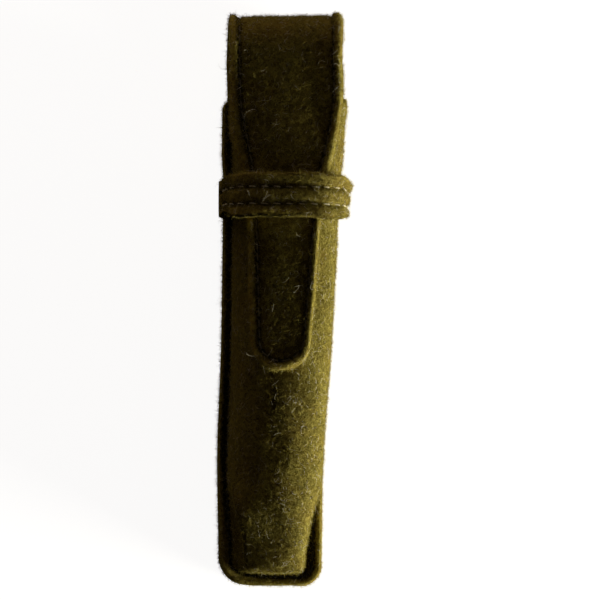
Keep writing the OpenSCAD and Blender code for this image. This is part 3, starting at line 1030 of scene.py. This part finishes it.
threadRows = {
    "seam_left": seamStitches(sidePath(-1), stripPoint, 40)
    + seamStitches(sidePath(-1), frontFlangePlace, 42, underKeeper),
    "seam_right": seamStitches(sidePath(1), stripPoint, 41)
    + seamStitches(sidePath(1), frontFlangePlace, 43, underKeeper),
    "bottom": seamStitches(bottomPath(), stripPoint, 44) + seamStitches(bottomPath(), frontFlangePlace, 45),
    "riser": stripRows(mouthY, cutS[0], 46),
    "fold": stripRows(*cutS, 48),
    "flap": tongueRound(50),
    "keeper_upper": keeperRow(keeper["rowIn"], 51),
    "keeper_lower": keeperRow(keeper["width"] - keeper["rowIn"], 52),
}
threads = {label: stitchMesh("thread_" + label, rows) for label, rows in threadRows.items()}
print("stitches laid:", sum(len(t.data.polygons) for t in threads.values()), "faces")


# Loose fibres
# Strands in mm; real wool fibre is 0.01 to 0.02 in radius, drawn coarser so that it shows
nap = {
    "down": {"perSquareCm": 620, "length": 0.78, "spread": 0.35, "rise": 0.9, "curl": 1.4, "radius": 0.042,
             "root": 0.1, "steps": 3},
    "light": {"perSquareCm": 190, "length": 1.0, "spread": 0.4, "rise": 0.55, "curl": 1.2, "radius": 0.042,
              "root": 0.05, "steps": 5},
    "pale": {"perSquareCm": 34, "length": 1.15, "spread": 0.5, "rise": 0.5, "curl": 0.75, "radius": 0.036,
             "root": 0.02, "steps": 8},
}
edgeDown = {"perSquareCm": 520, "length": 0.75, "spread": 0.35, "rise": 0.95, "curl": 1.2, "radius": 0.045,
            "root": 0.1, "steps": 3}
leastNap = 0.22  # share of the nap that still stands where the painted shade is deepest
stray = 0.8  # against 1 along the comb
thinning = 0.55
mostTriangles = 180000


# The cells of a face with the way out of the felt, towards or away from the middle of a cut edge, and their
# areas, less where painted shade lies on the felt
def napCells(grids, paintedLightsAndNap, towards):
    cells, ways, areas = [], [], []
    for number, g in enumerate(grids):
        corners = np.stack([g[:-1, :-1], g[1:, :-1], g[1:, 1:], g[:-1, 1:]], 2).reshape(-1, 4, 3)
        way = np.cross(corners[:, 2] - corners[:, 0], corners[:, 3] - corners[:, 1]) / 2
        reach = corners.mean(1) - corners.mean((0, 1)) if towards is None else np.array(towards, float)
        way = way if (way * reach).sum() > 0 else -way
        area = np.linalg.norm(way, axis=1)
        ways.append(way / (area[:, None] + 1e-12))
        if paintedLightsAndNap:
            between = (paintedLightsAndNap[number][:-1, :-1] + paintedLightsAndNap[number][1:, 1:]) / 2
            area = area * np.clip(1 + between.ravel(), leastNap, 1)
        cells.append(corners)
        areas.append(area)
    return np.concatenate(cells), np.concatenate(ways), np.concatenate(areas)


def scatter(cells, ways, areas, count, dice):
    pick = dice.choice(len(cells), count, p=areas / areas.sum())
    u, v = dice.random((2, count, 1))
    c = cells[pick]
    spot = c[:, 0] * (1 - u) * (1 - v) + c[:, 1] * u * (1 - v) + c[:, 2] * u * v + c[:, 3] * (1 - u) * v
    return spot, ways[pick]


# Fine curved strands of three sides that stand out of the felt; rise is how steeply, from 0 to 1
def fibreMesh(name, spot, normal, kind, comb, dice):
    count = len(spot)
    steps = kind["steps"]
    side = dice.normal(size=(count, 3)) * stray + np.array(comb, float) * dice.choice([-1, 1], (count, 1))
    side -= normal * (side * normal).sum(1)[:, None]
    side /= np.linalg.norm(side, axis=1)[:, None] + 1e-9
    other = np.cross(normal, side)
    size = kind["length"] * np.exp(kind["spread"] * dice.normal(size=count))
    rise = kind["rise"] * (0.4 + 0.9 * dice.random(count))
    bend = kind["curl"] * dice.normal(size=count) * size
    t = np.linspace(0, 1, steps)
    turn = (bend[:, None] * t)[..., None]
    flat = side[:, None] * np.cos(turn) + other[:, None] * np.sin(turn)
    arch = np.clip(rise[:, None] * (1 - 1.3 * t * (1 - kind["rise"])), -0.9, 0.95)[..., None]
    way = flat * np.sqrt(1 - arch**2) + normal[:, None] * arch
    line = np.cumsum(way * (size / (steps - 1))[:, None, None], axis=1)
    line = line - line[:, :1] + (spot - normal * kind["root"])[:, None]
    up = np.cross(way, normal[:, None] + 0.01)
    up /= np.linalg.norm(up, axis=2)[..., None] + 1e-9
    third = np.cross(way, up)
    thick = kind["radius"] * (1 - thinning * t)[:, None]
    ring = np.radians([90, 210, 330])
    tube = line[:, :, None] + up[:, :, None] * (np.cos(ring) * thick)[..., None]
    tube = tube + third[:, :, None] * (np.sin(ring) * thick)[..., None]
    index = np.arange(count * steps * 3).reshape(count, steps, 3)
    nextOne = np.roll(index, -1, axis=2)
    quads = np.stack([index[:, :-1], nextOne[:, :-1], nextOne[:, 1:], index[:, 1:]], -1)
    ends = index[:, 0, ::-1].tolist() + index[:, -1].tolist()
    return addStrands(name, tube.reshape(-1, 3), quads.reshape(-1, 4).tolist() + ends)


fibres = {}


# Grows each kind of nap on a face, and down on its cut edges, in pieces of at most mostTriangles
def growNap(label, sheets, walls, towards, comb, seed, fewer=1.0):
    dice = np.random.default_rng(seed)
    face = napCells(sheets[1], sheets[3], towards)
    made = [(kind, kind, facts, face, fewer) for kind, facts in nap.items()]
    made.append(("edge", "down", edgeDown, napCells(walls, [], None), 1.0))
    for place, kind, facts, where, share in made:
        count = int(where[2].sum() / 100 * facts["perSquareCm"] * share)
        parts = int(count * (6 * facts["steps"] - 4) / mostTriangles) + 1
        for part in range(parts):
            spot, normal = scatter(*where, count // parts, dice)
            name = "wool_" + place + "_" + label + "_" + str(part + 1)
            fibres[label, kind, name] = fibreMesh(name, spot, normal, facts, comb, dice)


growNap("front", frontSheets, frontSheets[2], (0, 0, 1), (0.4, -0.9, 0.0), 61)
growNap("keeper", keeperSheets, [keeperSheets[2][2], keeperUnderSheets[2][2]], (0, 0, 1), (0.2, 0.5, 0.0), 62)
for seed, (part, towards, fewer) in enumerate((("flap", (0, 0, 1), 1.0), ("fold", (0, 1, 0), 1.0),
                                               ("back", (0, 0, -1), 0.3))):
    walls = strip[part, "outer"][2] + strip[part, "lining"][2]
    growNap(part, strip[part, "outer"], walls, towards, (0.7, 0.9, 0.3), 63 + seed, fewer)
print("nap grown:", sum(len(t.data.polygons) for t in fibres.values()), "faces")


# Materials
# An sRGB hex colour as Blender's linear numbers
def hexColour(text):
    values = [int(text[i:i + 2], 16) / 255 for i in (1, 3, 5)]
    return [v / 12.92 if v <= 0.04045 else ((v + 0.055) / 1.055) ** 2.4 for v in values] + [1.0]


# Adds a node with its settings; inputs are numbers, colours or (node, output) links
def addNode(tree, kind, inputs=None, **settings):
    node = tree.nodes.new(kind)
    for name, value in settings.items():
        setattr(node, name, value)
    for name, value in (inputs or {}).items():
        if isinstance(value, tuple):
            tree.links.new(value[0].outputs[value[1]], node.inputs[name])
        else:
            node.inputs[name].default_value = value
    return node


def newMaterial(name):
    material = bpy.data.materials.new(name)
    material.use_nodes = True
    material.node_tree.nodes.clear()
    return material, material.node_tree


# The scale of a noise whose lumps are about size mm across
def perMetre(size):
    return 1 / (size * mm)


woolFelt = {
    "colour": "#7d702c",
    "liningColour": "#786b2a",
    "darkFibre": "#4b3911",
    "paleFibre": "#b5a956",
    "brown": "#6b4c22",
    "sheen": "#b5a94f",
    "bump": 1.0,
    "bumpHigh": 0.55,
    "strandWide": 0.022,
}
# mm across, detail, roughness and distortion of each noise
feltNoises = {
    "mottle": (11.0, 3.0, 0.5, 0.0),
    "clump": (2.0, 5.0, 0.62, 0.6),  # soft clumps of fibre
    "fibre": (0.75, 4.0, 0.68, 1.6),  # real fibres are 0.03 apart, drawn coarse enough to show
    "line": (1.1, 1.5, 0.4, 1.2),
}

# a noise, its low and high, and what they become
feltLevels = {
    "broken": ("clump", 0.5, 0.62, 0.0, 1.0),
    "tone": ("fibre", 0.36, 0.66, 0.0, 1.0),
    "soft": ("clump", 0.3, 0.7, 0.64, 1.32),
    "slow": ("mottle", 0.3, 0.7, 0.9, 1.1),
    "spread": ("mottle", 0.42, 0.62, 0.0, 0.3),
    "rough": ("fibre", 0.3, 0.7, 0.86, 1.0),
}


# Pressed wool felt: no thread direction, dull, with a fine fibrous nap that catches light at its edges
def woolFeltMaterial(name, colour):
    material, tree = newMaterial(name)
    place = addNode(tree, "ShaderNodeTexCoord")
    noise = {}
    for key, (size, detail, roughness, distortion) in feltNoises.items():
        noise[key] = addNode(tree, "ShaderNodeTexNoise", {
            "Vector": (place, "Object"), "Scale": perMetre(size), "Detail": detail, "Roughness": roughness,
            "Distortion": distortion})
    level = {}
    for key, (source, low, high, toLow, toHigh) in feltLevels.items():
        level[key] = addNode(tree, "ShaderNodeMapRange", {
            "Value": (noise[source], 0), "From Min": low, "From Max": high,
            "To Min": toLow, "To Max": toHigh})

    # curled single fibres are thin broken lines where this noise passes its middle
    offset = addNode(tree, "ShaderNodeMath", {0: (noise["line"], 0), 1: 0.5}, operation="SUBTRACT")
    near = addNode(tree, "ShaderNodeMath", {0: (offset, 0)}, operation="ABSOLUTE")
    thin = addNode(tree, "ShaderNodeMapRange", {
        "Value": (near, 0), "From Min": 0.0, "From Max": woolFelt["strandWide"], "To Min": 1.0,
        "To Max": 0.0})
    strand = addNode(tree, "ShaderNodeMath", {0: (thin, 0), 1: (level["broken"], 0)}, operation="MULTIPLY")

    # colour: dark and pale fibres, brown patches, then the brightness from clumps, mottling and painted light
    # (painted highlights on rims, painted shade in grooves, valleys and under parts)
    base = addNode(tree, "ShaderNodeMix", {
        0: (level["tone"], 0), 6: hexColour(woolFelt["darkFibre"]), 7: hexColour(woolFelt["paleFibre"])},
        data_type="RGBA")
    half = addNode(tree, "ShaderNodeMix", {0: 0.3, 6: (base, 2), 7: hexColour(colour)}, data_type="RGBA")
    both = addNode(tree, "ShaderNodeMath", {0: (level["soft"], 0), 1: (level["slow"], 0)},
                   operation="MULTIPLY")
    # the mesh's painted light: above 0 a painted highlight, below 0 painted shade, scaling the colour's
    # brightness
    paintedLightValues = addNode(tree, "ShaderNodeAttribute", attribute_name="wear")
    paintedLightLevel = addNode(tree, "ShaderNodeMath", {0: (paintedLightValues, "Fac"), 1: 0.68, 2: 1.0}, operation="MULTIPLY_ADD")
    bright = addNode(tree, "ShaderNodeMath", {0: (both, 0), 1: (paintedLightLevel, 0)}, operation="MULTIPLY")
    brown = addNode(tree, "ShaderNodeMix", {
        0: (level["spread"], 0), 6: (half, 2), 7: hexColour(woolFelt["brown"])}, data_type="RGBA")
    shade = addNode(tree, "ShaderNodeVectorMath", {0: (brown, 2), "Scale": (bright, 0)}, operation="SCALE")
    showing = addNode(tree, "ShaderNodeMath", {0: (strand, 0), 1: 0.55}, operation="MULTIPLY")
    final = addNode(tree, "ShaderNodeMix", {
        0: (showing, 0), 6: (shade, 0), 7: hexColour(woolFelt["paleFibre"])}, data_type="RGBA")

    fine = addNode(tree, "ShaderNodeMath", {0: (noise["clump"], 0), 1: 0.5, 2: (noise["fibre"], 0)},
                   operation="MULTIPLY_ADD")
    high = addNode(tree, "ShaderNodeMath", {0: (strand, 0), 1: 0.25, 2: (fine, 0)}, operation="MULTIPLY_ADD")
    bump = addNode(tree, "ShaderNodeBump", {"Height": (high, 0), "Strength": woolFelt["bump"],
                                            "Distance": woolFelt["bumpHigh"] * mm})
    shader = addNode(tree, "ShaderNodeBsdfPrincipled", {
        "Base Color": (final, 2), "Roughness": (level["rough"], 0), "Normal": (bump, 0), "IOR": 1.45,
        "Specular IOR Level": 0.0, "Sheen Weight": 0.06, "Sheen Roughness": 0.5,
        "Sheen Tint": hexColour(woolFelt["sheen"])})
    addNode(tree, "ShaderNodeOutputMaterial", {"Surface": (shader, 0)})
    return material


yarn = {"cream": "#ddd2ae", "olive": "#2b250f", "grey": "#6f6446"}
wool = {"down": "#948741", "light": "#b8ac5a", "pale": "#e4dcc2"}


# Spun polyester thread: smoother than the felt, with a low silky gloss
def threadMaterial(name, colour):
    material, tree = newMaterial(name)
    place = addNode(tree, "ShaderNodeTexCoord")
    grain = addNode(tree, "ShaderNodeTexNoise", {"Vector": (place, "Object"), "Scale": perMetre(0.25),
                                                 "Detail": 2.0})
    level = addNode(tree, "ShaderNodeMapRange", {"Value": (grain, 0), "From Min": 0.3, "From Max": 0.7,
                                                 "To Min": 0.75, "To Max": 1.15})
    tint = addNode(tree, "ShaderNodeRGB")
    tint.outputs[0].default_value = hexColour(colour)
    shade = addNode(tree, "ShaderNodeVectorMath", {0: (tint, 0), "Scale": (level, 0)}, operation="SCALE")
    rough = addNode(tree, "ShaderNodeMapRange", {"Value": (grain, 0), "To Min": 0.5, "To Max": 0.75})
    bump = addNode(tree, "ShaderNodeBump", {"Height": (grain, 0), "Strength": 0.4, "Distance": 0.05 * mm})
    shader = addNode(tree, "ShaderNodeBsdfPrincipled", {"Base Color": (shade, 0), "Roughness": (rough, 0),
                                                        "Normal": (bump, 0), "IOR": 1.5,
                                                        "Specular IOR Level": 0.15})
    addNode(tree, "ShaderNodeOutputMaterial", {"Surface": (shader, 0)})
    return material


# Single wool fibres: matt, one plain colour each
def fibreMaterial(name, colour):
    material, tree = newMaterial(name)
    shader = addNode(tree, "ShaderNodeBsdfPrincipled", {"Base Color": hexColour(colour), "Roughness": 0.9,
                                                        "Specular IOR Level": 0.0})
    addNode(tree, "ShaderNodeOutputMaterial", {"Surface": (shader, 0)})
    return material


feltFor = {
    "outer": woolFeltMaterial("wool_felt_outer", woolFelt["colour"]),
    "lining": woolFeltMaterial("wool_felt_lining", woolFelt["liningColour"]),
}
threadFor = {key: threadMaterial("thread_" + key, colour) for key, colour in yarn.items()}
looseWool = {kind: fibreMaterial("wool_fibre_" + kind, colour) for kind, colour in wool.items()}
print("materials made")


# What each piece stands for and how it moves
def foldPoint(degrees):
    a = math.radians(degrees)
    return (0, (foldY + foldMidRadius * math.sin(a)) * mm, (foldRadius - foldMidRadius * math.cos(a)) * mm)


bendPoints = [foldPoint(flap[key]) for key in ("bendFrom", "firstCut", "lastCut", "bendTo")]
bends = {
    "back": ("pocket", "fold_lower", bendPoints[0], bendPoints[1]),
    "fold": ("fold_lower", "fold_upper", bendPoints[1], bendPoints[2]),
    "flap": ("fold_upper", "flap", bendPoints[2], bendPoints[3]),
}


# Gives a piece its material and hides the frame nodes it stands for; a piece of the strip has its place baked
# into its mesh, any other rides on the pocket
def fit(thing, material, slot, part, *nodes):
    thing.data.materials.clear()
    thing.data.materials.append(material)
    if nodes:
        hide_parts(*nodes)
    if part in bends:
        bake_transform(thing)
    else:
        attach(thing, "pocket")


stripNodes = {
    ("back", "outer"): ["back_panel"],
    ("back", "lining"): ["back_lining"],
    ("fold", "outer"): ["fold_lower_outer", "fold_upper_outer"],
    ("fold", "lining"): ["fold_lower_lining", "fold_upper_lining"],
    ("flap", "outer"): ["flap_outer", "tongue_outer"],
    ("flap", "lining"): ["flap_lining", "tongue_lining"],
}
for (part, layer), nodes in stripNodes.items():
    fit(strip[part, layer][0], feltFor[layer], "felt_" + layer, part, *nodes)
keeperOuter, keeperLining = keeperSheets[0], keeperUnderSheets[0]
for thing, layer, node in ((frontOuter, "outer", "front_panel"), (frontLining, "lining", "front_lining"),
                           (keeperOuter, "outer", "keeper_band"), (keeperLining, "lining", "keeper_lining")):
    fit(thing, feltFor[layer], "felt_" + layer, "pocket", node)
threadNodes = {
    "seam_left": ("olive", "pocket", "side_seam_left"),
    "seam_right": ("olive", "pocket", "side_seam_right"),
    "bottom": ("olive", "pocket", "bottom_seam"),
    "riser": ("grey", "back", "riser_stitches"),
    "fold": ("grey", "fold", "fold_lower_stitches", "fold_upper_stitches"),
    "flap": ("grey", "flap", "flap_stitches", "tongue_stitches"),
    "keeper_upper": ("cream", "pocket", "keeper_stitches_upper"),
    "keeper_lower": ("cream", "pocket", "keeper_stitches_lower"),
}
for label, (colour, part, *nodes) in threadNodes.items():
    fit(threads[label], threadFor[colour], "thread", part, *nodes)
for (label, kind, _), thing in fibres.items():
    fit(thing, looseWool[kind], "felt_outer", label)

print("pieces fitted to the frame")

# Floor, light and camera
studio = {
    "floorSize": 6.0,
    "floorColour": "#f2f2f0",
    "floorGlow": 0.92,
    "floorDown": 0.2,  # mm under the sleeve
    "fillColour": "#ffe4cf",
    "fillStrength": 0.022,
}
# place and size in metres, power, colour
lamps = {
    "key": ((0.63, -0.235, 0.040), (0.36, 0.045), 11.8, "#fffdf0"),
    "left": ((-0.45, 0.6, 0.1), (0.5, 0.1), 0.4, studio["fillColour"]),
    "back": ((-0.05, 0.75, 0.09), (0.5, 0.1), 1.0, studio["fillColour"]),
}


# 1 where the camera sees a thing straight on, in a mirror or through glass
def seenDirectly(tree):
    seen = addNode(tree, "ShaderNodeLightPath")
    glossy = addNode(tree, "ShaderNodeMath", {0: (seen, "Is Camera Ray"), 1: (seen, "Is Glossy Ray")},
                     operation="ADD")
    return addNode(tree, "ShaderNodeMath", {0: (glossy, 0), 1: (seen, "Is Transmission Ray")},
                   operation="ADD", use_clamp=True)


# The camera sees the floor near white, with the sleeve's own shadow still on it
def buildFloor():
    size = studio["floorSize"] / 2
    z = -studio["floorDown"] * mm
    mesh = bpy.data.meshes.new("floor")
    corners = [(-size, -size, z), (size, -size, z), (size, size, z), (-size, size, z)]
    mesh.from_pydata(corners, [], [(0, 1, 2, 3)])
    material, tree = newMaterial("pale_floor")
    matt = addNode(tree, "ShaderNodeBsdfDiffuse", {"Color": hexColour(studio["floorColour"])})
    glow = addNode(tree, "ShaderNodeMath", {0: (seenDirectly(tree), 0), 1: studio["floorGlow"]},
                   operation="MULTIPLY")
    white = addNode(tree, "ShaderNodeEmission", {"Color": [1, 1, 1, 1], "Strength": (glow, 0)})
    both = addNode(tree, "ShaderNodeAddShader", {0: (matt, 0), 1: (white, 0)})
    addNode(tree, "ShaderNodeOutputMaterial", {"Surface": (both, 0)})
    mesh.materials.append(material)
    addThing("floor", mesh)


def buildWorld():
    world = bpy.data.worlds.new("studio")
    bpy.context.scene.world = world
    world.use_nodes = True
    tree = world.node_tree
    tree.nodes.clear()
    fill = addNode(tree, "ShaderNodeBackground", {"Color": hexColour(studio["fillColour"]),
                                                  "Strength": studio["fillStrength"]})
    white = addNode(tree, "ShaderNodeBackground", {"Color": [1, 1, 1, 1], "Strength": 1.0})
    mixed = addNode(tree, "ShaderNodeMixShader", {0: (seenDirectly(tree), 0), 1: (fill, 0), 2: (white, 0)})
    addNode(tree, "ShaderNodeOutputWorld", {"Surface": (mixed, 0)})


def addLamp(name, place, size, power, colour, target=(0, 0, 0.01)):
    lamp = bpy.data.lights.new(name, "AREA")
    lamp.shape = "RECTANGLE"
    lamp.size, lamp.size_y = size
    lamp.energy = power
    lamp.color = hexColour(colour)[:3]
    thing = addThing(name, lamp)
    thing.location = place
    thing.rotation_euler = (Vector(target) - Vector(place)).to_track_quat("-Z", "Y").to_euler()


# distance and centre in mm, fromLeft and roll in degrees
view = {
    "distance": 456.0,
    "fromLeft": 5.5,
    "roll": 1.5,
    "centre": (7.0, 1.0),
    "lens": 92.7,
}


def buildCamera():
    data = bpy.data.cameras.new("photo_view")
    data.sensor_width = 36
    data.lens = view["lens"]
    data.clip_start = 0.02
    data.clip_end = 20
    camera = addThing("photo_view", data)
    bpy.context.scene.camera = camera
    tilt, roll = math.radians(view["fromLeft"]), math.radians(view["roll"])
    target = Vector((view["centre"][0] * mm, view["centre"][1] * mm, 0))
    away = Vector((-math.sin(tilt), 0, math.cos(tilt)))
    right = Vector((-math.sin(roll), math.cos(roll), 0)).cross(away).normalized()
    up = away.cross(right)
    turn = Matrix((right, up, away)).transposed().to_4x4()
    camera.matrix_world = Matrix.Translation(target + away * view["distance"] * mm) @ turn


buildFloor()
buildWorld()
for name, facts in lamps.items():
    addLamp(name, *facts)
buildCamera()
bpy.context.scene.view_settings.view_transform = "Standard"
print("studio set")
